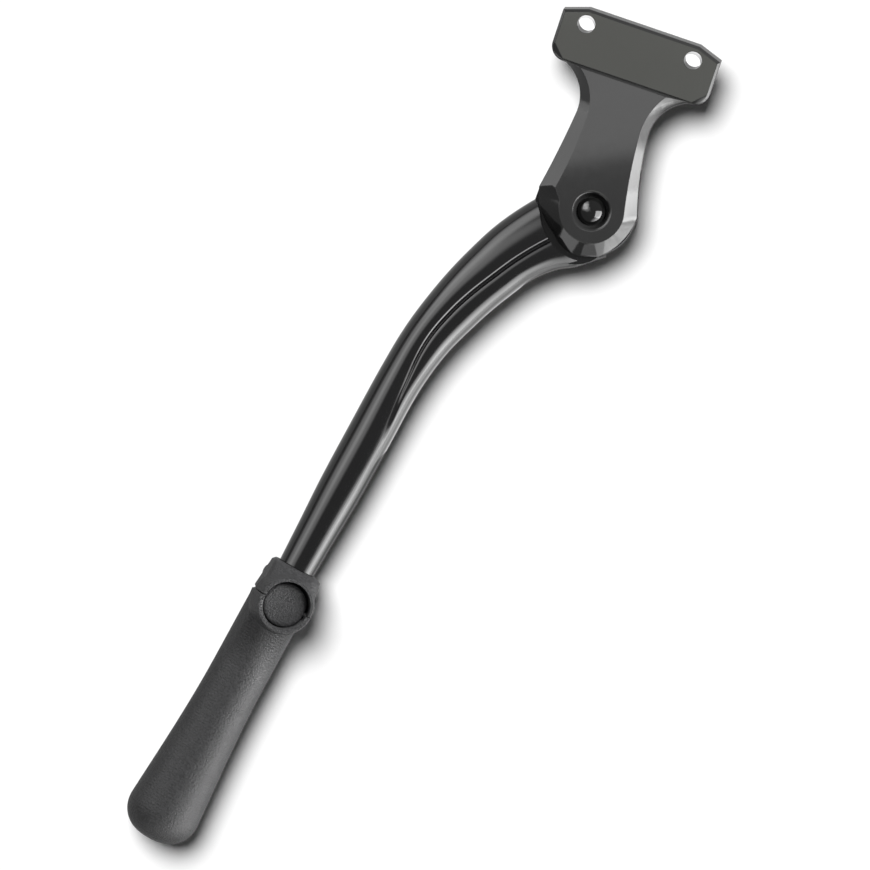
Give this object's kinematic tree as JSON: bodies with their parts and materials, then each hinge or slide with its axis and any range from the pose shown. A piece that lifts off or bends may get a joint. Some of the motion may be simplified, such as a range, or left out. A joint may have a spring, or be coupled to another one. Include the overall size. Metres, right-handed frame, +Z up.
{
  "type": "bicycle kickstand",
  "caption": "Rear-stay bicycle kickstand: bolting plate with forked neck, curved leg that folds up to the rear, and a length-adjustable plastic foot with a release button.",
  "frame": {"origin": "middle of the two bolt holes on the plate's rear mounting face", "axes": "+X along the hole row to the bicycle's rear, +Y out of the mounting face to the bicycle, +Z up"},
  "size_m": [0.115, 0.0669, 0.3277],
  "materials": {
    "head": "gloss black anodised",
    "leg": "gloss black lacquer over forged aluminium",
    "pin": "black polished steel",
    "steel": "ground steel",
    "spring_steel": "oiled spring steel",
    "bearing": "natural acetal",
    "foot": "matt textured black",
    "collar": "matt textured black",
    "screw": "blackened steel",
    "button": "matt black"
  },
  "bodies": {
    "head": {"mounting_head": "head", "pivot_pin": "pin", "cam_sleeve": "steel", "pivot_washer": "steel", "retaining_ring": "spring_steel"},
    "leg": {"leg": "leg", "thrust_washer_front": "bearing", "thrust_washer_rear": "bearing", "detent_spring": "spring_steel"},
    "plunger": {"detent_plunger": "steel"},
    "foot": {"foot_shell": "foot", "foot_collar": "collar", "collar_screws": "screw", "button_pin": "steel", "button_spring": "spring_steel"},
    "button": {"release_button": "button"}
  },
  "joints": [
    {"name": "leg_fold", "type": "hinge", "parent": "head", "child": "leg", "pos_m": [0.0032, -0.00979, -0.06274], "axis": [0, -0.9848, 0.1736], "range_deg": [0, 105]},
    {"name": "plunger_slide", "type": "slide", "parent": "leg", "child": "plunger", "axis": [0.7009, 0.1239, 0.7024], "range_m": [0, 0.0012], "stiffness_N_per_m": 300, "springref_m": 0.006, "deforming": ["detent_spring"]},
    {"name": "foot_slide", "type": "slide", "parent": "leg", "child": "foot", "axis": [-0.1702, -0.1711, -0.9704], "range_m": [0, 0.036]},
    {"name": "button_press", "type": "hinge", "parent": "foot", "child": "button", "pos_m": [-0.05494, -0.0488, -0.22612], "axis": [0.9518, 0.2263, -0.2069], "range_deg": [0, 11], "stiffness_Nm_per_rad": 0.05, "springref_deg": -11.46, "deforming": ["button_spring"]}
  ]
}
